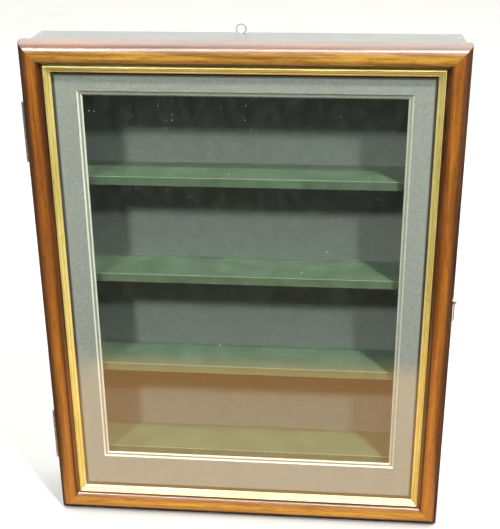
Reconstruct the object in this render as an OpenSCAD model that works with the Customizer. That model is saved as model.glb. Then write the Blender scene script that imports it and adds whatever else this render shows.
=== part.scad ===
// Wall display case with a hinged, glazed picture-frame door and four fixed shelves.
// Frame: +X to the right, +Y towards the wall, +Z up.
// The origin is the middle of the underside of the case, and the front faces -Y.

/* [Case] */
// Width of the case
case_w = 422; // [300:1:600]
// Height of the case
case_h = 532; // [400:1:700]
// Depth of the case
case_d = 60; // [45:1:120]
// Thickness of the case boards and shelves
board_t = 9; // [8:0.5:15]
// Thickness of the back panel
back_t = 4; // [3:0.5:6]
// How far the back panel lies inside the rear edge of the boards
back_recess = 3; // [2.5:0.5:6]
// Thickness of the card lining in front of the back panel
lining_t = 1.5; // [1:0.1:3]

/* [Shelves] */
// Height of the top face of the display floor
floor_top = 75.5; // [40:0.5:120]
// Distance from one shelf to the next
shelf_pitch = 107.5; // [80:0.5:115]
// Depth of the housing that holds each shelf end
housing_d = 3; // [1:0.5:4]

/* [Door] */
// Width of the door
door_w = 427; // [320:1:620]
// Height of the door
door_h = 535; // [420:1:720]
// Height of the lower edge of the door above the base
door_lift = 1.5; // [0.5:0.5:3]
// Gap between the door and the case
door_gap = 2.1; // [2:0.1:3]
// Thickness of the door moulding
door_t = 22; // [20:0.5:30]
// Width of the wood that shows around the gilt slip
wood_w = 23; // [20:0.5:40]
// Width of the gilt slip that shows
slip_w = 6.4; // [5:0.1:12]

/* [Glazing] */
// Thickness of the glass
glass_t = 2; // [1.5:0.5:3]
// Thickness of each mat
mat_t = 1.4; // [1:0.1:2]
// Border of the mat beside the slip
mat_side = 22.1; // [10:0.1:50]
// Border of the mat above the window
mat_top = 18.5; // [10:0.1:50]
// Border of the mat below the window
mat_bottom = 38; // [10:0.1:60]
// How far the window is cut to the right of the door's middle
mat_shift = 1; // [-3:0.5:3]
// Strip of the inner mat that shows inside the outer mat
mat_reveal = 2.2; // [1:0.1:8]

/* [Hinges] */
// Length of each hinge
hinge_l = 62; // [45:1:76]
// Distance of each hinge's middle from the middle of the case
hinge_spread = 177; // [120:1:190]
// Radius of the hinge knuckle
knuckle_r = 1.6; // [1.4:0.1:2]
// Radius of the hinge pin
pin_r = 0.8; // [0.6:0.1:0.9]
// Thickness of each hinge leaf
leaf_t = 0.9; // [0.7:0.1:0.9]

/* [Catch] */
// Height of the hook's pivot
catch_z = 276; // [200:1:400]
// Distance from the hook's pivot to its mouth
hook_l = 24; // [20:1:30]
// Thickness of the hook
hook_t = 1; // [0.8:0.1:1.5]

/* [Hanger] */
// Sideways place of the hanging ring
ring_x = -7; // [-20:1:20]
// Radius of the hole in the hanging ring
ring_hole_r = 3.8; // [2.5:0.1:4.5]
// Width of the metal around the hole
ring_wall = 2; // [1.5:0.1:3]

/* [Hidden] */
$fn = 48;
eps = 0.5;

front_y = -case_d / 2;
rear_y = case_d / 2;
inner_x = case_w / 2 - board_t;
panel_y1 = rear_y - back_recess;
panel_y0 = panel_y1 - back_t;
lining_y0 = panel_y0 - lining_t;
// Width of the rebate that takes the edge of the back panel
rebate_w = 4.5;

floor_z = floor_top - board_t;
shelf_z = [for (i = [0:3]) floor_z + i * shelf_pitch];

door_x = door_w / 2;
door_y = front_y - door_gap;
// Depth from the door's back to the glazing: strips, inner mat, outer mat, glass
strip_back = 1;
glass_d0 = 10;
glass_d1 = glass_d0 + glass_t;
outer_d0 = glass_d0 - mat_t;
inner_d0 = outer_d0 - mat_t;
// Wood lip over the slip's flange, and the rebate behind it
flange_t = 1;
lip_d = glass_d1 + flange_t;
glazing_u = wood_w - 4;
rebate_play = 0.5;
glazing_w = door_w - 2 * glazing_u;
glazing_h = door_h - 2 * glazing_u;
// Section of the moulding: a round outer shoulder up to the crest, a flatter inner face, then a cove
shoulder_r = 11;
face_r = 30;
cove_r = 4.6;
cove_d = 20.4;
// Gilt slip: outer height, inner height and the two fine grooves along it, as parts of its width
slip_high = 18;
slip_low = 12.8;
slip_bead = 0.8;
outer_groove = 0.25;
inner_groove = 0.62;
groove_half = 0.3;
groove_depth = 0.5;
slip_inner_u = wood_w + slip_w;
strip_w = 10;

window_x = door_x - slip_inner_u - mat_side;
window_z0 = door_lift + slip_inner_u + mat_bottom;
window_z1 = door_lift + door_h - slip_inner_u - mat_top;

hinge_x = -(door_x + 4.9);
hinge_y = front_y - door_gap / 2;
leaf_x0 = -(door_x + 3);
leaf_w = 13;
knuckles = 5;
knuckle_gap = 0.3;
pin_play = 0.05;
leaf_screw_x = leaf_x0 + 8.6;
leaf_screw_pitch = 24;
screw_r = 1;
screw_head_r = 2;
screw_l = 10;

catch_y = -43;
catch_x = door_x;
washer_t = 0.5;
hook_gap = 0.3;
hook_x = catch_x + washer_t + hook_gap;
pivot_r = 1.2;
eye_r = 3.2;
arm_w = 2.6;
tip_r = 3.8;
mouth_r = 1.8;
stud_r = 1.4;
head_t = 1;
catch_head_r = 2.5;
stud_y = catch_y + hook_l;

pin_shank_r = 0.6;
pin_head_r = 1.2;
pin_head_t = 0.8;
pin_l = 22;
panel_pin_l = 12;

strap_t = 1.5;
strap_w = 10;
strap_l = 30;
strap_y0 = panel_y1;
ring_z = case_h + ring_hole_r + 0.3;
ring_t = 2;

HINGES = ["hinge_upper", "hinge_lower"];

// A box from its two opposite corners
module span(x0, x1, y0, y1, z0, z1) {
    translate([x0, y0, z0]) cube([x1 - x0, y1 - y0, z1 - z0]);
}

// A cylinder along +X, +Y or -Y from its starting point
module rod_x(r, l) {
    rotate([0, 90, 0]) cylinder(r = r, h = l);
}
module rod_y(r, l) {
    rotate([-90, 0, 0]) cylinder(r = r, h = l);
}

// A panel pin that stands on its point, head at z = 0 and shank below
module panel_pin(l) {
    translate([0, 0, -pin_head_t]) cylinder(r = pin_head_r, h = pin_head_t);
    translate([0, 0, -l]) cylinder(r = pin_shank_r, h = l);
}

// A countersunk screw with its flat head at z = 0 and its shank below
module wood_screw() {
    union() {
        translate([0, 0, -leaf_t]) cylinder(r1 = screw_r, r2 = screw_head_r, h = leaf_t);
        translate([0, 0, -screw_l]) cylinder(r = screw_r, h = screw_l);
    }
}

// ---- Case ----

// Pins down through the top and up through the bottom, into the sides
module corner_pins() {
    for (side = [-1, 1], y = [-20, 12]) {
        x = side * (case_w - board_t) / 2;
        translate([x, y, case_h]) panel_pin(pin_l);
        translate([x, y, 0]) rotate([180, 0, 0]) panel_pin(pin_l);
    }
}

// Pins through the sides into the shelf ends
module shelf_pins() {
    for (z = shelf_z, y = [-20, 12]) {
        translate([case_w / 2, y, z + board_t / 2]) rotate([0, 90, 0]) panel_pin(pin_l);
        translate([-case_w / 2, y, z + board_t / 2]) rotate([0, -90, 0]) panel_pin(pin_l);
    }
}

module case_pins() {
    color("silver") {
        corner_pins();
        shelf_pins();
    }
}

// The panel lies in a rebate along the rear inner edge of the boards
module panel_rebate() {
    span(-inner_x - rebate_w, inner_x + rebate_w, panel_y0, rear_y + eps,
        board_t - rebate_w, case_h - board_t + rebate_w);
}

module case_top() {
    color("darkslategray") difference() {
        span(-case_w / 2, case_w / 2, front_y, rear_y, case_h - board_t, case_h);
        panel_rebate();
        strap_slot();
        corner_pins();
        back_pins_all();
    }
}

module case_bottom() {
    color("darkslategray") difference() {
        span(-case_w / 2, case_w / 2, front_y, rear_y, 0, board_t);
        panel_rebate();
        corner_pins();
        back_pins_all();
    }
}

module case_side(x0) {
    color("darkslategray") difference() {
        span(x0, x0 + board_t, front_y, rear_y, board_t, case_h - board_t);
        panel_rebate();
        shelf_housings();
        corner_pins();
        shelf_pins();
        back_pins_all();
    }
}

module shelf_housings() {
    for (z = shelf_z) {
        span(-inner_x - housing_d, inner_x + housing_d, front_y - eps, lining_y0, z, z + board_t);
    }
}

module case_left_side() {
    difference() {
        case_side(-case_w / 2);
        hinge_case_screws();
    }
}

module case_right_side() {
    difference() {
        case_side(inner_x);
        catch_stud();
    }
}

module back_panel() {
    color("tan") difference() {
        span(-inner_x - rebate_w, inner_x + rebate_w, panel_y0, panel_y1,
            board_t - rebate_w, case_h - board_t + rebate_w);
        back_pins_all();
        hanger_screws();
    }
}

module back_lining() {
    color("slategray") span(-inner_x, inner_x, lining_y0, panel_y0, board_t, case_h - board_t);
}

module shelf(i) {
    color("seagreen") difference() {
        span(-inner_x - housing_d, inner_x + housing_d, front_y, lining_y0,
            shelf_z[i], shelf_z[i] + board_t);
        shelf_pins();
    }
}

// Pins around the edge of the back panel
module back_pins_all() {
    edge_x = inner_x + rebate_w / 2;
    edge_z = board_t - rebate_w / 2;
    for (side = [-1, 1], i = [-2:2]) {
        translate([side * edge_x, panel_y1 + pin_head_t, case_h / 2 + i * 110])
            rotate([-90, 0, 0]) panel_pin(panel_pin_l);
    }
    for (z = [edge_z, case_h - edge_z], i = [-1:1]) {
        translate([i * 130, panel_y1 + pin_head_t, z]) rotate([-90, 0, 0]) panel_pin(panel_pin_l);
    }
}

module back_pins() {
    color("silver") back_pins_all();
}

// ---- Hanging ring ----

module strap_slot() {
    span(ring_x - strap_w / 2 - 1, ring_x + strap_w / 2 + 1, strap_y0, rear_y + eps,
        case_h - board_t - eps, case_h + eps);
}

module hanger_strap() {
    color("silver") difference() {
        union() {
            span(ring_x - strap_w / 2, ring_x + strap_w / 2, strap_y0, strap_y0 + strap_t,
                ring_z - ring_hole_r - strap_l, ring_z - ring_hole_r - ring_wall / 2);
            translate([ring_x, strap_y0, ring_z]) rod_y(ring_hole_r + ring_wall, ring_t);
        }
        translate([ring_x, strap_y0 - eps, ring_z]) rod_y(ring_hole_r, ring_t + 2 * eps);
        hanger_screws();
    }
}

module hanger_screws() {
    color("silver") for (i = [0, 1]) {
        translate([ring_x, strap_y0 + strap_t, case_h - 16 - i * 8]) {
            rod_y(2, 1.2);
            rotate([90, 0, 0]) cylinder(r = screw_r, h = strap_t + back_t);
        }
    }
}

// ---- Hinges ----

function knuckle_pitch() = hinge_l / knuckles;

// The knuckles that a leaf carries, with the tongue that joins each one to the leaf
module leaf_knuckles(first, plate_y) {
    for (i = [first:2:knuckles - 1]) {
        z0 = -hinge_l / 2 + i * knuckle_pitch() + knuckle_gap / 2;
        l = knuckle_pitch() - knuckle_gap;
        translate([hinge_x, hinge_y, z0]) cylinder(r = knuckle_r, h = l);
        span(hinge_x, leaf_x0 + eps, plate_y, plate_y + leaf_t, z0, z0 + l);
    }
}

module hinge_leaf(first, plate_y, bore_r, z) {
    color("darkgoldenrod") translate([0, 0, z]) difference() {
        union() {
            span(leaf_x0, leaf_x0 + leaf_w, plate_y, plate_y + leaf_t, -hinge_l / 2, hinge_l / 2);
            leaf_knuckles(first, plate_y);
        }
        translate([hinge_x, hinge_y, -hinge_l / 2 - eps]) cylinder(r = bore_r, h = hinge_l + 2 * eps);
    }
}

function hinge_z(which) = case_h / 2 + (which == HINGES[0] ? 1 : -1) * hinge_spread;

module case_leaf(which) {
    difference() {
        hinge_leaf(0, front_y - leaf_t, pin_r, hinge_z(which));
        hinge_case_screws();
    }
}

module door_leaf(which) {
    difference() {
        hinge_leaf(1, door_y, pin_r + pin_play, hinge_z(which));
        hinge_door_screws();
    }
}

module hinge_pin(which) {
    color("goldenrod") translate([hinge_x, hinge_y, hinge_z(which) - hinge_l / 2])
        cylinder(r = pin_r, h = hinge_l);
}

module leaf_screws(y, turn) {
    for (which = HINGES, i = [-1:1]) {
        translate([leaf_screw_x, y, hinge_z(which) + i * leaf_screw_pitch + 6])
            rotate([turn, 0, 0]) wood_screw();
    }
}

module hinge_case_screws() {
    color("goldenrod") leaf_screws(front_y - leaf_t, 90);
}

module hinge_door_screws() {
    color("goldenrod") leaf_screws(door_y + leaf_t, -90);
}

// ---- Catch ----

// The hook hangs from its pivot on the door's edge, and swings over to the stud on the case
module catch_pivot() {
    color("goldenrod") translate([catch_x, catch_y, catch_z]) {
        rod_x(eye_r - 0.4, washer_t);
        translate([-8, 0, 0]) rod_x(pivot_r, 8 + hook_x - catch_x + hook_t + hook_gap);
        translate([hook_x - catch_x + hook_t + hook_gap, 0, 0]) rod_x(catch_head_r, head_t);
    }
}

module catch_hook() {
    color("goldenrod") translate([hook_x, catch_y, catch_z]) difference() {
        union() {
            rod_x(eye_r, hook_t);
            span(0, hook_t, -arm_w / 2, arm_w / 2, -hook_l + mouth_r + 0.6, -eye_r + 1);
            translate([0, 0, -hook_l]) rod_x(tip_r, hook_t);
        }
        translate([-eps, 0, 0]) rod_x(pivot_r + pin_play, hook_t + 2 * eps);
        translate([-eps, 0, -hook_l]) rod_x(mouth_r, hook_t + 2 * eps);
        span(-eps, hook_t + eps, -tip_r - eps, 0, -hook_l - mouth_r, -hook_l + mouth_r);
    }
}

module catch_stud() {
    stud_l = hook_x + hook_t + hook_gap - case_w / 2;
    color("goldenrod") translate([case_w / 2, stud_y, catch_z]) {
        translate([-6, 0, 0]) rod_x(stud_r, 6 + stud_l);
        translate([stud_l, 0, 0]) rod_x(catch_head_r, head_t);
    }
}

// ---- Door ----

// Section of the moulding: x runs in from the outer edge, y runs out from the back
module moulding_section() {
    difference() {
        union() {
            square([wood_w, door_t - shoulder_r]);
            intersection() {
                translate([shoulder_r, door_t - shoulder_r]) circle(r = shoulder_r, $fn = 96);
                square([shoulder_r, door_t]);
            }
            intersection() {
                translate([shoulder_r, door_t - face_r]) circle(r = face_r, $fn = 192);
                translate([shoulder_r, 0]) square([wood_w - shoulder_r, door_t]);
            }
        }
        translate([wood_w, cove_d]) circle(r = cove_r);
        translate([glazing_u - rebate_play, -1]) square([wood_w, lip_d + 1]);
    }
}

function slip_face(u) = slip_high - (slip_high - slip_low) * (u - wood_w - slip_bead) / (slip_w - slip_bead);

// The three corners of a fine groove in the slip's face
function slip_groove(at) = let (u = wood_w + at * slip_w) [
    [u - groove_half, slip_face(u - groove_half)],
    [u, slip_face(u) - groove_depth],
    [u + groove_half, slip_face(u + groove_half)]
];

// Section of the gilt slip: a flange behind the wood and a sloping face with two fine grooves
module slip_section() {
    polygon(concat(
        [
            [glazing_u, glass_d1],
            [glazing_u, lip_d],
            [wood_w, lip_d],
            [wood_w, slip_high - slip_bead],
            [wood_w + slip_bead, slip_high]
        ],
        slip_groove(outer_groove),
        slip_groove(inner_groove),
        [[slip_inner_u, slip_low], [slip_inner_u, glass_d1]]
    ));
}

module strip_section() {
    translate([glazing_u, strip_back]) square([strip_w, inner_d0 - strip_back]);
}

// A bar of the given section along +X, mitred at both ends, with its outer edge at z = 0
module mitred_bar(length) {
    reach = slip_inner_u + eps;
    intersection() {
        rotate(a = 180, v = [1, 0, 1]) linear_extrude(length) children();
        translate([0, 1, 0]) rotate([90, 0, 0]) linear_extrude(door_t + 2)
            polygon([[0, 0], [length, 0], [length - reach, reach], [reach, reach]]);
    }
}

module at_bottom() {
    translate([-door_x, door_y, door_lift]) children();
}
module at_top() {
    translate([door_x, door_y, door_lift + door_h]) rotate([0, 180, 0]) children();
}
module at_right() {
    translate([door_x, door_y, door_lift]) rotate([0, -90, 0]) children();
}
module at_left() {
    translate([-door_x, door_y, door_lift + door_h]) rotate([0, 90, 0]) children();
}

module door_bottom_rail() {
    color("sienna") difference() {
        at_bottom() mitred_bar(door_w) moulding_section();
        corner_nails();
    }
}
module door_top_rail() {
    color("sienna") difference() {
        at_top() mitred_bar(door_w) moulding_section();
        corner_nails();
    }
}
module door_left_stile() {
    color("sienna") difference() {
        at_left() mitred_bar(door_h) moulding_section();
        hinge_door_screws();
        corner_nails();
    }
}
module door_right_stile() {
    color("sienna") difference() {
        at_right() mitred_bar(door_h) moulding_section();
        catch_pivot();
        corner_nails();
    }
}

module slip_bottom() {
    color("gold") at_bottom() mitred_bar(door_w) slip_section();
}
module slip_top() {
    color("gold") at_top() mitred_bar(door_w) slip_section();
}
module slip_left() {
    color("gold") at_left() mitred_bar(door_h) slip_section();
}
module slip_right() {
    color("gold") at_right() mitred_bar(door_h) slip_section();
}

// Nails driven in from the top and bottom edges, across each mitre
module corner_nails() {
    color("silver") for (side = [-1, 1], end = [0, 1]) {
        translate([side * (door_x - 9), door_y - 6, door_lift + end * door_h])
            rotate([end == 1 ? 0 : 180, 0, 0]) panel_pin(pin_l);
    }
}

// ---- Glazing ----

module pane(d0, d1) {
    span(-glazing_w / 2, glazing_w / 2, door_y - d1, door_y - d0,
        door_lift + glazing_u, door_lift + door_h - glazing_u);
}

module glass_pane() {
    color("lightcyan", 0.4) pane(glass_d0, glass_d1);
}

// Cutter for a window with 45 degree edges, inset from the widest window of the outer mat
module bevelled_window(inset, d0) {
    back = door_y - d0;
    front = back - mat_t;
    x = window_x - inset;
    z0 = window_z0 + inset;
    z1 = window_z1 - inset;
    grow = 1;
    narrow = mat_t + grow;
    translate([mat_shift, 0, 0]) intersection() {
        translate([0, 0, z0 - 2 * grow]) linear_extrude(z1 - z0 + 4 * grow) polygon([
            [-x - grow, front - grow],
            [x + grow, front - grow],
            [x - narrow, back + grow],
            [-x + narrow, back + grow]
        ]);
        translate([-x - 2 * grow, 0, 0]) rotate([90, 0, 90]) linear_extrude(2 * x + 4 * grow) polygon([
            [front - grow, z0 - grow],
            [front - grow, z1 + grow],
            [back + grow, z1 - narrow],
            [back + grow, z0 + narrow]
        ]);
    }
}

module outer_mat() {
    color("darkseagreen") difference() {
        pane(outer_d0, glass_d0);
        bevelled_window(0, outer_d0);
    }
}

module inner_mat() {
    color("beige") difference() {
        pane(inner_d0, outer_d0);
        bevelled_window(mat_t + mat_reveal, inner_d0);
    }
}

module strip_bottom() {
    color("burlywood") difference() {
        at_bottom() mitred_bar(door_w) strip_section();
        strip_pins();
    }
}
module strip_top() {
    color("burlywood") difference() {
        at_top() mitred_bar(door_w) strip_section();
        strip_pins();
    }
}
module strip_left() {
    color("burlywood") difference() {
        at_left() mitred_bar(door_h) strip_section();
        strip_pins();
    }
}
module strip_right() {
    color("burlywood") difference() {
        at_right() mitred_bar(door_h) strip_section();
        strip_pins();
    }
}

// Small brads that hold the retaining strips on the glazing, flush with the strips
module strip_pins() {
    brad_r = 0.8;
    brad_l = 4;
    brad_u = glazing_u + strip_w / 2;
    color("silver") {
        for (side = [-1, 1], i = [-1:1]) {
            translate([side * (door_x - brad_u), door_y - strip_back, door_lift + door_h / 2 + i * 170])
                rotate([90, 0, 0]) cylinder(r = brad_r, h = brad_l);
        }
        for (z = [door_lift + brad_u, door_lift + door_h - brad_u], i = [-1:1]) {
            translate([i * 130, door_y - strip_back, z])
                rotate([90, 0, 0]) cylinder(r = brad_r, h = brad_l);
        }
    }
}

// ---- Assembly ----

case_top();
case_bottom();
case_left_side();
case_right_side();
back_panel();
back_lining();
shelf(3);  // shelf_upper
shelf(2);  // shelf_middle
shelf(1);  // shelf_lower
shelf(0);  // display_floor
case_pins();
back_pins();
hanger_strap();
hanger_screws();
case_leaf("hinge_upper");  // hinge_upper_case_leaf
case_leaf("hinge_lower");  // hinge_lower_case_leaf
hinge_pin("hinge_upper");  // hinge_upper_pin
hinge_pin("hinge_lower");  // hinge_lower_pin
hinge_case_screws();
catch_stud();
door_top_rail();
door_bottom_rail();
door_left_stile();
door_right_stile();
slip_top();
slip_bottom();
slip_left();
slip_right();
glass_pane();
outer_mat();
inner_mat();
strip_top();
strip_bottom();
strip_left();
strip_right();
strip_pins();
corner_nails();
door_leaf("hinge_upper");  // hinge_upper_door_leaf
door_leaf("hinge_lower");  // hinge_lower_door_leaf
hinge_door_screws();
catch_pivot();
catch_hook();
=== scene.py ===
"""The looks of a glazed wall display case: materials, floor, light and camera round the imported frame."""

import math

import bpy
from mathutils import Matrix, Vector


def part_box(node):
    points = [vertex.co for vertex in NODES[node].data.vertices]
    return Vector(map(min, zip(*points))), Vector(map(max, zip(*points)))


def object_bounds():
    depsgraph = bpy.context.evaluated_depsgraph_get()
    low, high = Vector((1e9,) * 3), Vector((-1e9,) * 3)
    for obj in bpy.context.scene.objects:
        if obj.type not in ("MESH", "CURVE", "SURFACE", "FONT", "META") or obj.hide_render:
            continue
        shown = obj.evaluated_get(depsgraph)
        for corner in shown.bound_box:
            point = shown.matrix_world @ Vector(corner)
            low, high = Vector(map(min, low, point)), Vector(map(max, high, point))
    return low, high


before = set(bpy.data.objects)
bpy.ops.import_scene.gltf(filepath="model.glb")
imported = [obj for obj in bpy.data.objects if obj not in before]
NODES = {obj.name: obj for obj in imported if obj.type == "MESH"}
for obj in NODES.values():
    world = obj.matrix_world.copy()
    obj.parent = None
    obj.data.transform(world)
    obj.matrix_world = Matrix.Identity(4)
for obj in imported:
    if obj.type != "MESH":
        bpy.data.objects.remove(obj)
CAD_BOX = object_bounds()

MM = 0.001
MIDDLE = (CAD_BOX[0] + CAD_BOX[1]) / 2
WHITE = (1.0, 1.0, 1.0)
BLACK = (0.0, 0.0, 0.0)
NO_STRETCH = (1.0, 1.0, 1.0)
NO_SHIFT = (0.0, 0.0, 0.0)

# The camera: where it stands and how far it sees in metres, how far it looks down, round and tilted
# in degrees, and its lens and film in millimetres.
CAMERA_PLACE = Vector((0.093, -0.984, 0.726))
CAMERA_PITCH = 23.72
CAMERA_YAW = 5.27
CAMERA_ROLL = -0.52
CAMERA_LENS = 68.8
CAMERA_FILM = 36.0
CAMERA_REACH = 60.0

# The soft boxes in front of the case. Azimuth is turned from the case's front towards its right.
# Each is: azimuth and elevation in degrees, width and height in metres, watts.
LIGHTS = {
    "key_left": (-26.0, 40.0, 0.34, 0.34, 87.0),
    "key_right": (38.0, 39.0, 0.27, 0.27, 60.0),
    "steep_right": (36.0, 59.0, 0.20, 0.20, 140.0),
    "long_strip": (26.0, 61.0, 4.2, 0.27, 200.0),
}
LIGHT_DISTANCE = 3.6
LIGHT_COLOUR = (1.0, 0.985, 0.955)
# The long strip shows in gloss only.
GLOSS_LIGHT = "long_strip"

# The sky comes up as a direction turns to the back and rises past level, and gains strength with height.
SKY_BACK = (-0.42, 0.12)
SKY_LEVEL = (-0.04, 0.02)
SKY_CLIMB = (0.30, 0.95)
SKY_STRENGTH = (1.25, 4.6)
SKY_DIM = 0.04
SKY_COLOUR = (1.0, 0.995, 0.98)

FLOOR_REACH = 14.0
BACKDROP_SIDES = 96
BACKDROP_RADIUS = FLOOR_REACH * 0.95
BACKDROP_HEIGHT = FLOOR_REACH * 0.6

# A warm card lies in front of the case, where only its reflection shows. It glows evenly over these
# shares of its depth, counted from the case, and of its width, about the middle, and fades from there.
CARD_DEPTH = 0.37
CARD_WIDTH = 0.62
CARD_GLOW = 2.9
CARD_EVEN_DEPTH = 0.78
CARD_EVEN_WIDTH = 0.76

# The width of moulding that the stain's ramp covers, from the outer edge to the gilt. As shares of it:
# how far the grain makes the stain wander, and where each length's tint, which is painted light, comes in.
STAIN_REACH = 25.0 * MM
STAIN_WANDER = 0.16
LIGHT_TINT_START = (0.16, 0.32)
# Painted light: the rails' stain is tinted paler and yellower than the stiles', for the light the rails
# catch from above and below.
RAIL_LIGHT_TINT = (1.37, 2.02, 2.75)
STILE_SHADE_TINT = (0.97, 0.96, 1.0)
MOULDING_SOFT = 0.15 * MM

# The slip's inner edges.
SIGHT_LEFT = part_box("slip_left")[1].x
SIGHT_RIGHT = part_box("slip_right")[0].x
SIGHT_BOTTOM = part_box("slip_bottom")[1].z
SIGHT_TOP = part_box("slip_top")[0].z
# Where the slip's two grooves run, and their half width at the bottom and the top, in millimetres.
GILT_GROOVES = (2.43, 4.80)
GROOVE_BOTTOM = 0.15
GROOVE_TOP = 0.55
GILT_SOFT = 0.12 * MM

# Painted shadow: a dark line is painted on the outer mat close to the slip, where the slip's shadow falls,
# and reaches further down under the top slip.
SLIP_SHADOW_START = 3.4 * MM
SLIP_SHADOW_FULL = 1.8 * MM
TOP_SHADE = 1.5 * MM

# How many times as much as one face of glass the pane mirrors, how thick its dust lies at the upper
# left and elsewhere, and how strongly the specks show.
GLASS_MIRROR = 2.2
DUST_THICK = 0.75
DUST_THIN = 0.15
DUST_SPECKS = 0.42
# The share of a speck's radius over which it fades out.
SPECK_FADE = 0.25

# How far from the painted boards' edges the painted highlight and the wear run.
ARRIS = 1.5 * MM

# A mat's face and back are what looks this much along the depth axis. The rest is its cut core.
FACE_ON = 0.9

# The hardboard's woven print turns through this many radians to a metre.
WEAVE_RADIANS = 2600.0

# Each metal: its colour, its tarnish, its lowest roughness and how metallic it looks.
METALS = {
    "hinge_metal": ((0.50, 0.48, 0.42), (0.26, 0.245, 0.21), 0.44, 0.60),
    "screw_metal": ((0.60, 0.54, 0.42), (0.30, 0.26, 0.19), 0.32, 1.0),
    "hook_metal": ((0.62, 0.58, 0.48), (0.40, 0.36, 0.28), 0.34, 0.70),
    "zinc_metal": ((0.72, 0.72, 0.71), (0.46, 0.46, 0.45), 0.34, 0.80),
    "pin_metal": ((0.40, 0.40, 0.38), (0.24, 0.24, 0.23), 0.46, 0.50),
    "nail_metal": ((0.36, 0.26, 0.18), (0.20, 0.14, 0.10), 0.50, 0.50),
}
HINGE_LEAVES = [f"hinge_{end}_{side}_leaf" for end in ("upper", "lower") for side in ("case", "door")]
# Which nodes each metal dresses, and how much their edges are softened.
METAL_PIECES = (
    ("hinge_metal", 0.08 * MM, HINGE_LEAVES),
    ("hinge_metal", 0.0, ["hinge_upper_pin", "hinge_lower_pin"]),
    ("screw_metal", 0.0, ["hinge_case_screws", "hinge_door_screws"]),
    ("screw_metal", 0.10 * MM, ["catch_pivot", "catch_stud"]),
    ("hook_metal", 0.12 * MM, ["catch_hook"]),
    ("zinc_metal", 0.35 * MM, ["hanger_strap"]),
    ("zinc_metal", 0.0, ["hanger_screws"]),
    ("pin_metal", 0.0, ["case_pins", "back_pins", "strip_pins"]),
    ("nail_metal", 0.0, ["corner_nails"]),
)

# Points closer than this are welded before edges are softened.
WELD_REACH = 0.002 * MM
# Edges sharper than this, in degrees, are softened, in this many steps.
SOFT_ANGLE = 35.0
SOFT_STEPS = 2

# An edge's mask begins, and is full, at these cosines between the true face and a rounded one.
EDGE_START = 0.995
EDGE_FULL = 0.85
EDGE_SAMPLES = 6


# ---- Colours ----


def scaled(values, factor):
    """Three numbers times a factor: a colour made paler or darker, or a step in space."""
    return tuple(value * factor for value in values)


def toned(colour, tint):
    """A colour with each channel times a tint's."""
    return tuple(c * t for c, t in zip(colour, tint))


# ---- Node helpers ----


def feed(tree, socket, value):
    """Links an input from another socket, or sets it to a plain value. A colour is plain (r, g, b)."""
    if isinstance(value, bpy.types.NodeSocket):
        tree.links.new(value, socket)
    elif socket.type == "RGBA":
        socket.default_value = (*value, 1.0)
    else:
        socket.default_value = value


def add(tree, kind, inputs=None, **settings):
    """Adds a node, with its settings and the values or sockets for its inputs."""
    made = tree.nodes.new(kind)
    for name, value in settings.items():
        setattr(made, name, value)
    for name, value in (inputs or {}).items():
        feed(tree, made.inputs[name], value)
    return made


def drive(tree, shader, **inputs):
    """Feeds the shader's inputs, by name with _ for spaces."""
    for name, value in inputs.items():
        feed(tree, shader.inputs[name.replace("_", " ")], value)


def place(tree, stretch=NO_STRETCH, shift=NO_SHIFT):
    """The point on the part at rest, in metres, stretched along the axes and then shifted."""
    point = add(tree, "ShaderNodeTexCoord").outputs["Object"]
    moved = add(tree, "ShaderNodeMapping", {"Vector": point, "Location": shift, "Scale": stretch})
    return moved.outputs["Vector"]


def coordinate(tree, axis, vector=None):
    """One coordinate of a vector, or of the point on the part at rest, in metres."""
    return add(tree, "ShaderNodeSeparateXYZ", {0: vector or place(tree)}).outputs[axis]


def noise(tree, point, scale, detail=3.0, roughness=0.55, distortion=0.0):
    """Cloudy noise from 0 to 1. The scale is about how many lumps it has to a metre."""
    inputs = {
        "Vector": point,
        "Scale": scale,
        "Detail": detail,
        "Roughness": roughness,
        "Distortion": distortion,
    }
    return add(tree, "ShaderNodeTexNoise", inputs).outputs["Fac"]


def grain(tree, along, shift, squeeze, scale, **settings):
    """Noise drawn out along one axis: the smaller the squeeze, the longer its streaks."""
    stretch = tuple(squeeze if axis == along else 1.0 for axis in "XYZ")
    return noise(tree, place(tree, stretch, shift), scale, **settings)


def calc(tree, operation, a, b=0.0):
    return add(tree, "ShaderNodeMath", {0: a, 1: b}, operation=operation).outputs[0]


def times(tree, a, b):
    return calc(tree, "MULTIPLY", a, b)


def plus(tree, a, b):
    return calc(tree, "ADD", a, b)


def minus(tree, a, b):
    return calc(tree, "SUBTRACT", a, b)


def level(tree, value, low, high, to_low=0.0, to_high=1.0):
    """Maps low..high smoothly to to_low..to_high."""
    inputs = {"Value": value, 1: low, 2: high, 3: to_low, 4: to_high}
    made = add(tree, "ShaderNodeMapRange", inputs, interpolation_type="SMOOTHSTEP")
    return made.outputs["Result"]


def uneven(tree, pattern, smooth, rough):
    """A roughness that goes with a noise pattern, from smooth to rough."""
    return level(tree, pattern, 0.3, 0.7, smooth, rough)


def ramp(tree, value, *stops):
    """A colour ramp. Each stop is a place from 0 to 1 and a colour."""
    made = add(tree, "ShaderNodeValToRGB", {"Fac": value})
    bar = made.color_ramp.elements
    while len(bar) < len(stops):
        bar.new(0.5)
    for element, (spot, colour) in zip(bar, stops):
        element.position = spot
        element.color = (*colour, 1.0)
    return made.outputs["Color"]


def mixed(tree, amount, a, b, blend="MIX"):
    """Colour b over colour a, by an amount from 0 to 1."""
    made = add(tree, "ShaderNodeMix", {0: amount, 6: a, 7: b}, data_type="RGBA", blend_type=blend)
    return made.outputs[2]


def shaded(tree, base, amount, pattern, *stops):
    """Multiplies a base by a pattern's ramp, by an amount from 0 to 1."""
    return mixed(tree, amount, base, ramp(tree, pattern, *stops), "MULTIPLY")


def covered(tree, base, colour, amount, mask):
    """Lays a colour over a base where a mask is 1, up to this amount."""
    return mixed(tree, times(tree, mask, amount), base, colour)


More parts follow.
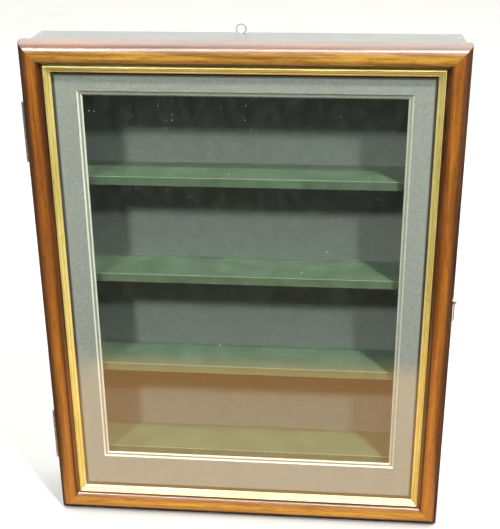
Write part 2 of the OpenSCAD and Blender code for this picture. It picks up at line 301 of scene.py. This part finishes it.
def patched(tree, base, colour, amount, pattern, low, high):
    """Lays a colour over a base where a pattern goes from low to high, up to this amount."""
    return mixed(tree, level(tree, pattern, low, high, 0.0, amount), base, colour)


def bump(tree, height, strength, distance):
    inputs = {"Height": height, "Strength": strength, "Distance": distance}
    return add(tree, "ShaderNodeBump", inputs).outputs["Normal"]


def rounded(tree, radius):
    """The way each point would face if every edge were rounded to this radius."""
    return add(tree, "ShaderNodeBevel", {"Radius": radius}, samples=EDGE_SAMPLES).outputs["Normal"]


def edges(tree, radius):
    """0 on flat faces, rising to 1 within the radius of an outer or inner edge."""
    true_normal = add(tree, "ShaderNodeNewGeometry").outputs["Normal"]
    turned = {0: rounded(tree, radius), 1: true_normal}
    dot = add(tree, "ShaderNodeVectorMath", turned, operation="DOT_PRODUCT")
    return level(tree, dot.outputs["Value"], EDGE_START, EDGE_FULL)


def upper(tree, radius):
    """1 on what faces up, and within the radius of an edge that does."""
    return level(tree, coordinate(tree, "Z", rounded(tree, radius)), 0.0, 0.3)


def facing(tree, axis):
    """How far a flat face looks along an axis of the part at rest, from -1 to 1."""
    normal = add(tree, "ShaderNodeNewGeometry").outputs["True Normal"]
    settings = {"vector_type": "NORMAL", "convert_from": "WORLD", "convert_to": "OBJECT"}
    turned = add(tree, "ShaderNodeVectorTransform", {0: normal}, **settings)
    return coordinate(tree, axis, turned.outputs[0])


def depth_across(tree, along, edge, way, unit):
    """How far a point lies from an edge, across a length that runs along an axis, in this unit.

    The edge is a coordinate, and the way to count from it is 1 or -1.
    """
    across = coordinate(tree, "Z" if along == "X" else "X")
    return times(tree, minus(tree, across, edge), way / unit)


def material(name):
    """A new material: its tree and its Principled shader."""
    made = bpy.data.materials.new(name)
    made.use_nodes = True
    tree = made.node_tree
    tree.nodes.clear()
    shader = add(tree, "ShaderNodeBsdfPrincipled")
    add(tree, "ShaderNodeOutputMaterial", {"Surface": shader.outputs[0]})
    return made, tree, shader


# ---- Wood and gilt ----


def wood_stain(tree, depth, streaks, tint, cove):
    """The moulding's stain: dark at the outer edge, golden in the middle, and dark in the cove, partly
    dark stain and partly painted shade for the deep channel.

    The tint colours all but the outer edge, and the cove's factor says how pale the cove is. Both are
    painted light: paler on the rails, which catch more light, and darker on the stiles, where the cove
    lies in shade.
    """
    wander = times(tree, minus(tree, streaks, 0.5), STAIN_WANDER)
    stain = ramp(
        tree,
        plus(tree, depth, wander),
        (0.12, (0.074, 0.036, 0.017)),
        (0.23, (0.135, 0.051, 0.018)),
        (0.37, (0.335, 0.124, 0.017)),
        (0.56, (0.420, 0.156, 0.015)),
        (0.64, (0.310, 0.106, 0.015)),
        # Painted shade and light: these last stops, in the cove, are scaled by the cove's factor.
        (0.73, scaled((0.190, 0.060, 0.012), (1 + cove) / 2)),
        (0.82, scaled((0.070, 0.022, 0.006), cove)),
    )
    # Painted light: the length's tint, paler and yellower on the rails.
    tinted = mixed(tree, 1.0, stain, tint, "MULTIPLY")
    return mixed(tree, level(tree, depth, *LIGHT_TINT_START), stain, tinted)


def moulding_wood(name, along, edge, inward, tint, cove, seed):
    """Two-tone varnished wood with its grain along one axis.

    Its stain follows the distance from the outer edge, counted inward, 1 or -1.
    """
    made, tree, shader = material(name)
    shift = scaled((0.37, 0.53, 0.71), seed)
    streaks = grain(
        tree, along, shift, squeeze=0.04, scale=230.0, detail=4.0, roughness=0.62, distortion=0.5
    )
    flame = grain(tree, along, shift, squeeze=0.13, scale=330.0, roughness=0.6, distortion=0.4)
    fibres = grain(tree, along, shift, squeeze=0.012, scale=1100.0, roughness=0.65)
    holes = grain(tree, along, shift, squeeze=0.05, scale=2100.0, detail=1.0, roughness=0.5)
    pores = level(tree, holes, 0.38, 0.28)
    cloud = grain(tree, along, shift, squeeze=0.3, scale=24.0)
    ripple = grain(tree, along, shift, squeeze=0.04, scale=300.0, detail=2.0)
    streak_tones = ((0.32, (0.40, 0.32, 0.26)), (0.50, WHITE), (0.70, (1.30, 1.25, 1.10)))
    depth = depth_across(tree, along, edge, inward, STAIN_REACH)
    base = wood_stain(tree, depth, streaks, tint, cove)
    base = shaded(tree, base, 0.85, streaks, *streak_tones)
    base = shaded(tree, base, 0.60, fibres, (0.30, (0.50, 0.40, 0.32)), (0.62, WHITE))
    base = patched(tree, base, (0.22, 0.066, 0.016), 0.40, cloud, low=0.42, high=0.72)
    base = patched(tree, base, (0.17, 0.046, 0.012), 0.55, flame, low=0.50, high=0.68)
    base = covered(tree, base, (0.035, 0.011, 0.005), 0.70, pores)
    drive(
        tree,
        shader,
        Base_Color=base,
        Roughness=uneven(tree, fibres, 0.28, 0.42),
        Specular_IOR_Level=0.35,
        Coat_Weight=0.85,
        Coat_Roughness=0.24,
        Normal=bump(tree, minus(tree, fibres, pores), 0.22, 0.2 * MM),
        Coat_Normal=bump(tree, ripple, 0.07, 0.4 * MM),
    )
    return made


def groove_wax(tree, depth, fine):
    """1 along the slip's grooves, thinner where the fine grain is high."""
    wax = 0.0
    for groove in GILT_GROOVES:
        off = calc(tree, "ABSOLUTE", minus(tree, depth, groove))
        wax = calc(tree, "MAXIMUM", level(tree, off, GROOVE_TOP, GROOVE_BOTTOM), wax)
    return times(tree, wax, level(tree, fine, 0.35, 0.60, 0.42, 0.14))


def gilt(name, along, edge, outward, gain, seed):
    """Gold leaf over a red-brown ground, a little rubbed, with dark wax left in its grooves. The gain
    brightens or darkens each length's leaf as painted light.
    """
    made, tree, shader = material(name)
    shift = scaled((0.31, 0.17, 0.43), seed)
    fine = grain(tree, along, shift, squeeze=0.10, scale=1400.0, roughness=0.6)
    broad = grain(tree, along, shift, squeeze=0.25, scale=60.0)
    leaf = ((0.30, (0.54, 0.43, 0.11)), (0.52, (0.68, 0.55, 0.16)), (0.75, (0.76, 0.65, 0.23)))
    depth = depth_across(tree, along, edge, outward, MM)
    base = mixed(tree, 1.0, ramp(tree, broad, *leaf), gain, "MULTIPLY")
    base = shaded(tree, base, 0.50, fine, (0.28, (0.50, 0.42, 0.28)), (0.58, WHITE))
    base = mixed(tree, groove_wax(tree, depth, fine), base, (0.13, 0.085, 0.025))
    rubbed = times(tree, edges(tree, 0.6 * MM), level(tree, fine, 0.50, 0.62))
    base = covered(tree, base, (0.30, 0.13, 0.05), 0.6, rubbed)
    drive(
        tree,
        shader,
        Base_Color=base,
        Metallic=0.20,
        Roughness=uneven(tree, fine, 0.34, 0.52),
        Coat_Weight=0.80,
        Coat_Roughness=0.28,
        Normal=bump(tree, fine, 0.16, 0.3 * MM),
    )
    return made


def pine(name, along, seed):
    """Bare softwood strip."""
    made, tree, shader = material(name)
    shift = scaled((0.29, 0.61, 0.13), seed)
    rings = grain(tree, along, shift, squeeze=0.03, scale=330.0, roughness=0.5, distortion=0.8)
    fibres = grain(tree, along, shift, squeeze=0.02, scale=1500.0, detail=2.0)
    wood = ((0.30, (0.46, 0.27, 0.12)), (0.48, (0.68, 0.47, 0.25)), (0.70, (0.78, 0.60, 0.36)))
    base = ramp(tree, rings, *wood)
    base = shaded(tree, base, 0.4, fibres, (0.32, (0.70, 0.62, 0.52)), (0.60, WHITE))
    drive(
        tree,
        shader,
        Base_Color=base,
        Roughness=uneven(tree, rings, 0.60, 0.75),
        Normal=bump(tree, fibres, 0.25, 0.2 * MM),
    )
    return made


# ---- Glass ----


def speck(tree, cells_per_metre, share, reach):
    """Small round specks, most of them faint, in about this share of the cells.

    The reach is the radius of the largest, as a share of a cell.
    """
    flat = {"X": coordinate(tree, "X"), "Y": coordinate(tree, "Z")}
    point = add(tree, "ShaderNodeCombineXYZ", flat).outputs[0]
    inputs = {"Vector": point, "Scale": cells_per_metre}
    cells = add(tree, "ShaderNodeTexVoronoi", inputs, voronoi_dimensions="2D")
    chance = add(tree, "ShaderNodeSeparateColor", {0: cells.outputs["Color"]})
    chosen = calc(tree, "LESS_THAN", chance.outputs[0], share)
    size = times(tree, chance.outputs[1], reach)
    inside = minus(tree, size, cells.outputs["Distance"])
    strength = times(tree, chosen, times(tree, chance.outputs[2], chance.outputs[2]))
    return times(tree, strength, level(tree, inside, 0.0, reach * SPECK_FADE))


def glass_dust(tree):
    """How much dust lies on the pane: specks, thickest towards the upper left, and a faint film."""
    low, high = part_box("glass_pane")
    left = level(tree, coordinate(tree, "X"), high.x, low.x)
    top = level(tree, coordinate(tree, "Z"), (low.z + high.z) / 2, high.z)
    settled = plus(tree, times(tree, times(tree, left, top), DUST_THICK), DUST_THIN)
    fine = speck(tree, cells_per_metre=130.0, share=settled, reach=0.092)
    coarse = speck(tree, cells_per_metre=36.0, share=0.16, reach=0.050)
    film = grain(tree, "Z", NO_SHIFT, squeeze=0.6, scale=70.0, detail=5.0, roughness=0.7)
    haze = level(tree, film, 0.35, 0.80, 0.006, 0.024)
    return plus(tree, times(tree, plus(tree, fine, coarse), DUST_SPECKS), haze)


def pane_glass():
    """Thin clear glass: it mirrors by angle, lets the rest through, and holds a little dust."""
    made, tree, shader = material("pane_glass")
    tree.nodes.remove(shader)
    geometry = add(tree, "ShaderNodeNewGeometry")
    front = minus(tree, 1.0, geometry.outputs["Backfacing"])
    fresnel = add(tree, "ShaderNodeFresnel", {"IOR": 1.5}).outputs[0]
    mirror = times(tree, times(tree, fresnel, GLASS_MIRROR), front)
    clear = add(tree, "ShaderNodeBsdfTransparent", {"Color": (0.955, 0.975, 0.962)})
    gloss = add(tree, "ShaderNodeBsdfGlossy", {"Roughness": 0.02})
    pane = add(tree, "ShaderNodeMixShader", {0: mirror, 1: clear.outputs[0], 2: gloss.outputs[0]})
    dusty = times(tree, glass_dust(tree), front)
    dust = add(tree, "ShaderNodeBsdfDiffuse", {"Color": (0.80, 0.81, 0.76)})
    both = add(tree, "ShaderNodeMixShader", {0: dusty, 1: pane.outputs[0], 2: dust.outputs[0]})
    tree.links.new(both.outputs[0], tree.nodes["Material Output"].inputs["Surface"])
    return made


# ---- Mat board, card and hardboard ----


def sight_line(tree):
    """Distance inwards from the slip's inner edge, or under its top length from the end of its shade."""
    x = coordinate(tree, "X")
    z = coordinate(tree, "Z")
    from_left = minus(tree, x, SIGHT_LEFT)
    from_right = minus(tree, SIGHT_RIGHT, x)
    from_bottom = minus(tree, z, SIGHT_BOTTOM)
    from_top = minus(tree, SIGHT_TOP - TOP_SHADE, z)
    nearest_side = calc(tree, "MINIMUM", from_left, from_right)
    return calc(tree, "MINIMUM", nearest_side, calc(tree, "MINIMUM", from_bottom, from_top))


def mat_face(tree, face, flecks, mottle, cloud):
    """The board's tinted face: flecks, and darker mottling and clouds."""
    dark = scaled(face, 0.74)
    tinted = ramp(tree, flecks, (0.34, dark), (0.50, face), (0.68, scaled(face, 1.22)))
    tinted = patched(tree, tinted, dark, 0.55, mottle, low=0.35, high=0.66)
    clouded = toned(face, (0.85, 0.98, 1.02))
    return patched(tree, tinted, clouded, 0.30, cloud, low=0.40, high=0.70)


def mat_board(name, face, seed, slip_shadow=False):
    """Flecked mat board: a tinted face, a buff back, and a cream core where it is cut at 45 degrees."""
    made, tree, shader = material(name)
    point = place(tree, shift=scaled((1.0, 0.7, 0.3), seed))
    flecks = noise(tree, point, 1300.0, detail=2.0, roughness=0.6)
    mottle = noise(tree, point, 240.0, detail=4.0, roughness=0.65)
    cloud = noise(tree, point, 14.0, detail=2.0)
    tinted = mat_face(tree, face, flecks, mottle, cloud)
    # Painted shadow: a dark line on the outer mat along the slip's inner edge.
    if slip_shadow:
        distance = sight_line(tree)
        tinted = patched(tree, tinted, (0.07, 0.06, 0.04), 0.88, distance, SLIP_SHADOW_START, SLIP_SHADOW_FULL)
    core = ramp(tree, flecks, (0.30, (0.90, 0.87, 0.73)), (0.60, (0.97, 0.95, 0.84)))
    backing = ramp(tree, mottle, (0.30, (0.50, 0.45, 0.35)), (0.65, (0.60, 0.55, 0.44)))
    across = facing(tree, "Y")
    core = mixed(tree, calc(tree, "GREATER_THAN", across, FACE_ON), core, backing)
    drive(
        tree,
        shader,
        Base_Color=mixed(tree, calc(tree, "LESS_THAN", across, -FACE_ON), core, tinted),
        Roughness=uneven(tree, flecks, 0.80, 0.95),
        Specular_IOR_Level=0.25,
        Normal=bump(tree, plus(tree, flecks, mottle), 0.35, 0.2 * MM),
    )
    return made


def lining_card():
    """Grey-green card behind the shelves, with a faint tooth."""
    made, tree, shader = material("lining_card")
    tooth = noise(tree, place(tree), 1100.0, roughness=0.6)
    mottle = noise(tree, place(tree), 90.0, detail=4.0, roughness=0.6)
    base = ramp(tree, mottle, (0.30, (0.222, 0.256, 0.238)), (0.72, (0.262, 0.290, 0.275)))
    drive(
        tree,
        shader,
        Base_Color=shaded(tree, base, 0.5, tooth, (0.32, (0.72, 0.74, 0.72)), (0.60, WHITE)),
        Roughness=uneven(tree, tooth, 0.78, 0.95),
        Specular_IOR_Level=0.25,
        Normal=bump(tree, tooth, 0.30, 0.2 * MM),
    )
    return made


def hardboard():
    """The rough side of hardboard: brown, with the screen's woven print."""
    made, tree, shader = material("hardboard")
    fuzz = noise(tree, place(tree), 420.0, detail=5.0, roughness=0.7)
    stain = noise(tree, place(tree), 7.0)
    threads = place(tree, scaled(NO_STRETCH, WEAVE_RADIANS))
    warp = calc(tree, "SINE", coordinate(tree, "X", threads))
    weft = calc(tree, "SINE", coordinate(tree, "Z", threads))
    weave = times(tree, warp, weft)
    board = ((0.28, (0.130, 0.072, 0.034)), (0.52, (0.225, 0.135, 0.068)), (0.78, (0.330, 0.215, 0.120)))
    base = ramp(tree, fuzz, *board)
    drive(
        tree,
        shader,
        Base_Color=patched(tree, base, (0.12, 0.065, 0.032), 0.35, stain, low=0.42, high=0.75),
        Roughness=uneven(tree, fuzz, 0.72, 0.92),
        Normal=bump(tree, plus(tree, times(tree, weave, 0.35), fuzz), 0.45, 0.3 * MM),
    )
    return made


# ---- Paint and metal ----


def dusted(tree, base, film, mottle, point):
    """Dust on what faces up: a thin film with pale specks in it."""
    up = coordinate(tree, "Z", add(tree, "ShaderNodeNewGeometry").outputs["Normal"])
    settled = times(tree, level(tree, up, 0.5, 1.0), level(tree, mottle, 0.30, 0.70, 0.4, 1.0))
    specks = level(tree, noise(tree, point, 1500.0, detail=1.0), 0.62, 0.72)
    amount = times(tree, settled, plus(tree, times(tree, specks, 0.30), film))
    return mixed(tree, amount, base, (0.52, 0.54, 0.48))


def green_paint(name, colour, dust, gloss, edge_highlight, seed):
    """Brushed-on satin paint with a painted highlight along its upper edges, worn thin along all, with
    dust on top.
    """
    made, tree, shader = material(name)
    shift = scaled((0.41, 0.23, 0.67), seed)
    point = place(tree, shift=shift)
    brush = grain(tree, "X", shift, squeeze=0.05, scale=700.0, roughness=0.6)
    mottle = noise(tree, point, 45.0, detail=4.0, roughness=0.6)
    grit = noise(tree, point, 900.0, detail=2.0, roughness=0.5)
    pale = tuple(c + 0.004 for c in scaled(colour, 1.22))
    base = ramp(tree, mottle, (0.30, scaled(colour, 0.80)), (0.52, colour), (0.75, pale))
    base = patched(tree, base, pale, 0.22, brush, low=0.35, high=0.65)
    edge = edges(tree, ARRIS)
    # Painted highlight: a pale line along the edges that face up.
    base = covered(tree, base, (0.50, 0.61, 0.46), edge_highlight, times(tree, edge, upper(tree, ARRIS)))
    base = covered(tree, base, (0.46, 0.50, 0.40), 0.55, times(tree, edge, level(tree, grit, 0.50, 0.66)))
    base = dusted(tree, base, dust, mottle, point)
    drive(
        tree,
        shader,
        Base_Color=base,
        Roughness=uneven(tree, mottle, 0.34, 0.50),
        Coat_Weight=gloss,
        Coat_Roughness=0.18,
        Normal=bump(tree, plus(tree, brush, times(tree, grit, 0.4)), 0.14, 0.3 * MM),
    )
    return made


def metal(name, colour, tarnish, roughness, metallic, seed):
    """Worn metal: scratches, tarnish that gathers in blotches, and edges rubbed bright."""
    made, tree, shader = material(name)
    shift = scaled((0.19, 0.37, 0.83), seed)
    scratches = grain(tree, "Z", shift, squeeze=0.06, scale=2600.0, detail=2.0, roughness=0.6)
    blotches = noise(tree, place(tree, shift=shift), 210.0, detail=5.0, roughness=0.65)
    aged = level(tree, blotches, 0.38, 0.66)
    bright = tuple(min(1.0, c) for c in scaled(colour, 1.25))
    base = covered(tree, mixed(tree, aged, colour, tarnish), bright, 0.55, edges(tree, 0.3 * MM))
    drive(
        tree,
        shader,
        Base_Color=base,
        Metallic=metallic,
        Roughness=level(tree, plus(tree, aged, scratches), 0.4, 1.5, roughness, roughness + 0.25),
        Normal=bump(tree, plus(tree, scratches, blotches), 0.12, 0.1 * MM),
    )
    return made


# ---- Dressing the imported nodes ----


def dress(names, finish, soften=0.0):
    """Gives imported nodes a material, and softens their edges by a small radius."""
    for name in names:
        piece = NODES[name]
        mesh = piece.data
        mesh.materials.clear()
        mesh.materials.append(finish)
        if not soften:
            continue
        for layer in ("custom_normal", "sharp_edge", "sharp_face"):
            if layer in mesh.attributes:
                mesh.attributes.remove(mesh.attributes[layer])
        mesh.shade_smooth()
        weld = piece.modifiers.new("weld", "WELD")
        weld.merge_threshold = WELD_REACH
        soft = piece.modifiers.new("soften", "BEVEL")
        soft.width = soften
        soft.segments = SOFT_STEPS
        soft.limit_method = "ANGLE"
        soft.angle_limit = math.radians(SOFT_ANGLE)
        soft.harden_normals = True


def dress_case():
    outside = green_paint("case_paint", (0.096, 0.104, 0.093), dust=0.02, gloss=0.2, edge_highlight=0.0, seed=1)
    inside = green_paint("shelf_paint", (0.105, 0.170, 0.098), dust=0.05, gloss=0.35, edge_highlight=1.0, seed=2)
    dress(["case_top", "case_bottom", "case_left_side", "case_right_side"], outside)
    dress(["shelf_upper", "shelf_middle", "shelf_lower", "display_floor"], inside)
    dress(["back_panel"], hardboard())
    dress(["back_lining"], lining_card())


def dress_moulding():
    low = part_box("door_left_stile")[0]
    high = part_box("door_right_stile")[1]
    # Each length: the axis it runs along, its outer edge, the way in, its tint, how pale its cove is.
    # The tint and the cove's paleness are painted light: paler on the rails, darker on the stiles.
    lengths = {
        "door_top_rail": ("X", high.z, -1, RAIL_LIGHT_TINT, 2.2),
        "door_bottom_rail": ("X", low.z, 1, RAIL_LIGHT_TINT, 1.2),
        "door_left_stile": ("Z", low.x, 1, STILE_SHADE_TINT, 0.65),
        "door_right_stile": ("Z", high.x, -1, STILE_SHADE_TINT, 0.65),
    }
    for seed, (name, cut) in enumerate(lengths.items(), 1):
        dress([name], moulding_wood(f"moulding_{name}", *cut, seed), MOULDING_SOFT)


def dress_slip():
    # Each length: the axis it runs along, its inner edge, the way out, its leaf's gain in brightness.
    # The gain is painted light: the top slip, which faces down, is painted much brighter for a painted
    # reflection of warm light from below, and the bottom slip a little darker.
    lengths = {
        "slip_top": ("X", SIGHT_TOP, 1, (1.55, 1.82, 2.30)),
        "slip_bottom": ("X", SIGHT_BOTTOM, -1, (0.84, 0.84, 0.90)),
        "slip_left": ("Z", SIGHT_LEFT, -1, (1.00, 1.08, 1.15)),
        "slip_right": ("Z", SIGHT_RIGHT, 1, (1.04, 1.12, 1.15)),
    }
    for seed, (name, cut) in enumerate(lengths.items(), 1):
        dress([name], gilt(f"gilt_{name}", *cut, seed), GILT_SOFT)


def dress_door():
    dress_moulding()
    dress_slip()
    dress(["glass_pane"], pane_glass())
    dress(["outer_mat"], mat_board("outer_mat", (0.388, 0.400, 0.362), 1, slip_shadow=True))
    dress(["inner_mat"], mat_board("inner_mat", (0.400, 0.395, 0.320), 2))
    dress(["strip_top", "strip_bottom"], pine("pine_level", "X", 1))
    dress(["strip_left", "strip_right"], pine("pine_upright", "Z", 2))


def dress_metal():
    finishes = {name: metal(name, *look, seed) for seed, (name, look) in enumerate(METALS.items(), 1)}
    for finish, soften, names in METAL_PIECES:
        dress(names, finishes[finish], soften)


# ---- Stage, light and camera ----


def stage_piece(name, points, faces, finish, hidden_from):
    """A mesh object with one material, hidden from these kinds of ray."""
    mesh = bpy.data.meshes.new(name)
    mesh.from_pydata(points, [], faces)
    mesh.materials.append(finish)
    piece = bpy.data.objects.new(name, mesh)
    bpy.context.scene.collection.objects.link(piece)
    for ray in hidden_from:
        setattr(piece, f"visible_{ray}", False)
    return piece


def rectangle(half_width, front, back, height):
    """The corners of a level rectangle, with its middle at x = 0."""
    sides = ((-half_width, front), (half_width, front), (half_width, back), (-half_width, back))
    return [(x, y, height) for x, y in sides]


def floor_material():
    made, tree, shader = material("floor_paper")
    tone = noise(tree, place(tree), 3.0, detail=4.0, roughness=0.6)
    tooth = noise(tree, place(tree), 420.0, roughness=0.6)
    drive(
        tree,
        shader,
        Base_Color=ramp(tree, tone, (0.25, (0.400, 0.397, 0.387)), (0.75, (0.428, 0.424, 0.415))),
        Roughness=0.9,
        Specular_IOR_Level=0.2,
        Normal=bump(tree, tooth, 0.08, 0.3 * MM),
    )
    return made


def make_floor():
    points = rectangle(FLOOR_REACH, -FLOOR_REACH, FLOOR_REACH, 0.0)
    floor = stage_piece("floor", points, [(0, 1, 2, 3)], floor_material(), ("glossy", "diffuse"))


def backdrop_material():
    made, tree, shader = material("backdrop_paper")
    tone = noise(tree, place(tree), 0.4, detail=2.0)
    drive(
        tree,
        shader,
        Base_Color=BLACK,
        Roughness=1.0,
        Emission_Color=ramp(tree, tone, (0.3, (0.93, 0.93, 0.91)), (0.7, (0.96, 0.96, 0.94))),
        Emission_Strength=1.0,
    )
    return made


def make_backdrop():
    """A pale ring wall near the end of the floor, so that every view ends in the same tone."""
    turns = [math.tau * side / BACKDROP_SIDES for side in range(BACKDROP_SIDES)]
    ring = [(BACKDROP_RADIUS * math.cos(t), BACKDROP_RADIUS * math.sin(t)) for t in turns]
    points = [(x, y, z) for z in (0.0, BACKDROP_HEIGHT) for x, y in ring]
    faces = []
    for side in range(BACKDROP_SIDES):
        after = (side + 1) % BACKDROP_SIDES
        faces.append((side, after, after + BACKDROP_SIDES, side + BACKDROP_SIDES))
    hidden_from = ("glossy", "diffuse", "shadow")
    wall = stage_piece("backdrop", points, faces, backdrop_material(), hidden_from)


def card_material():
    """A warm glow that fades out towards the card's front edge and its sides."""
    made, tree, shader = material("card")
    ahead = minus(tree, CAD_BOX[0].y, coordinate(tree, "Y"))
    depth_fade = level(tree, ahead, CARD_DEPTH, CARD_DEPTH * CARD_EVEN_DEPTH)
    side = calc(tree, "ABSOLUTE", coordinate(tree, "X"))
    side_fade = level(tree, side, CARD_WIDTH / 2, CARD_WIDTH / 2 * CARD_EVEN_WIDTH)
    streaks = grain(tree, "Y", NO_SHIFT, squeeze=0.1, scale=60.0)
    drive(
        tree,
        shader,
        Base_Color=BLACK,
        Emission_Color=ramp(tree, streaks, (0.30, (0.98, 0.42, 0.06)), (0.70, (1.0, 0.48, 0.10))),
        Emission_Strength=times(tree, times(tree, depth_fade, side_fade), CARD_GLOW),
    )
    return made


def make_card():
    """The card lies just over the floor and shows in gloss only."""
    back = CAD_BOX[0].y
    points = rectangle(CARD_WIDTH / 2, back - CARD_DEPTH, back, MM)
    hidden_from = ("camera", "diffuse", "shadow")
    card = stage_piece("card", points, [(0, 1, 2, 3)], card_material(), hidden_from)


def make_world():
    """Dim in front, so that the glass stays clear to look into, and bright behind and above."""
    world = bpy.data.worlds.new("studio")
    bpy.context.scene.world = world
    world.use_nodes = True
    tree = world.node_tree
    tree.nodes.clear()
    way = add(tree, "ShaderNodeTexCoord").outputs["Generated"]
    axes = add(tree, "ShaderNodeSeparateXYZ", {0: way})
    behind = level(tree, axes.outputs["Y"], *SKY_BACK)
    above = level(tree, axes.outputs["Z"], *SKY_LEVEL)
    height = level(tree, axes.outputs["Z"], *SKY_CLIMB, *SKY_STRENGTH)
    bright = times(tree, times(tree, behind, above), height)
    inputs = {"Color": SKY_COLOUR, "Strength": plus(tree, bright, SKY_DIM)}
    sky = add(tree, "ShaderNodeBackground", inputs)
    add(tree, "ShaderNodeOutputWorld", {"Surface": sky.outputs[0]})


def heading(azimuth, elevation):
    """A way out from the case, turned from its front towards its right and then up, in degrees."""
    a = math.radians(azimuth)
    e = math.radians(elevation)
    return Vector((math.sin(a) * math.cos(e), -math.cos(a) * math.cos(e), math.sin(e)))


def make_lights():
    for name, (azimuth, elevation, width, height, watts) in LIGHTS.items():
        away = heading(azimuth, elevation)
        light = bpy.data.lights.new(name, "AREA")
        light.shape = "RECTANGLE"
        light.size = width
        light.size_y = height
        light.energy = watts
        light.color = LIGHT_COLOUR
        lamp = bpy.data.objects.new(name, light)
        lamp.location = MIDDLE + away * LIGHT_DISTANCE
        lamp.rotation_euler = away.to_track_quat("Z", "Y").to_euler()
        lamp.visible_diffuse = name != GLOSS_LIGHT
        bpy.context.scene.collection.objects.link(lamp)


def make_camera():
    data = bpy.data.cameras.new("camera")
    data.lens = CAMERA_LENS
    data.sensor_width = CAMERA_FILM
    data.clip_end = CAMERA_REACH
    camera = bpy.data.objects.new("camera", data)
    gaze = -heading(CAMERA_YAW, CAMERA_PITCH)
    roll = Matrix.Rotation(math.radians(CAMERA_ROLL), 4, "Z")
    turn = gaze.to_track_quat("-Z", "Y").to_matrix().to_4x4() @ roll
    camera.matrix_world = Matrix.Translation(CAMERA_PLACE) @ turn
    bpy.context.scene.collection.objects.link(camera)
    bpy.context.scene.camera = camera


bpy.context.scene.view_settings.view_transform = "Standard"

make_camera()
dress_case()
dress_door()
dress_metal()
make_floor()
make_backdrop()
make_world()
make_lights()
make_card()
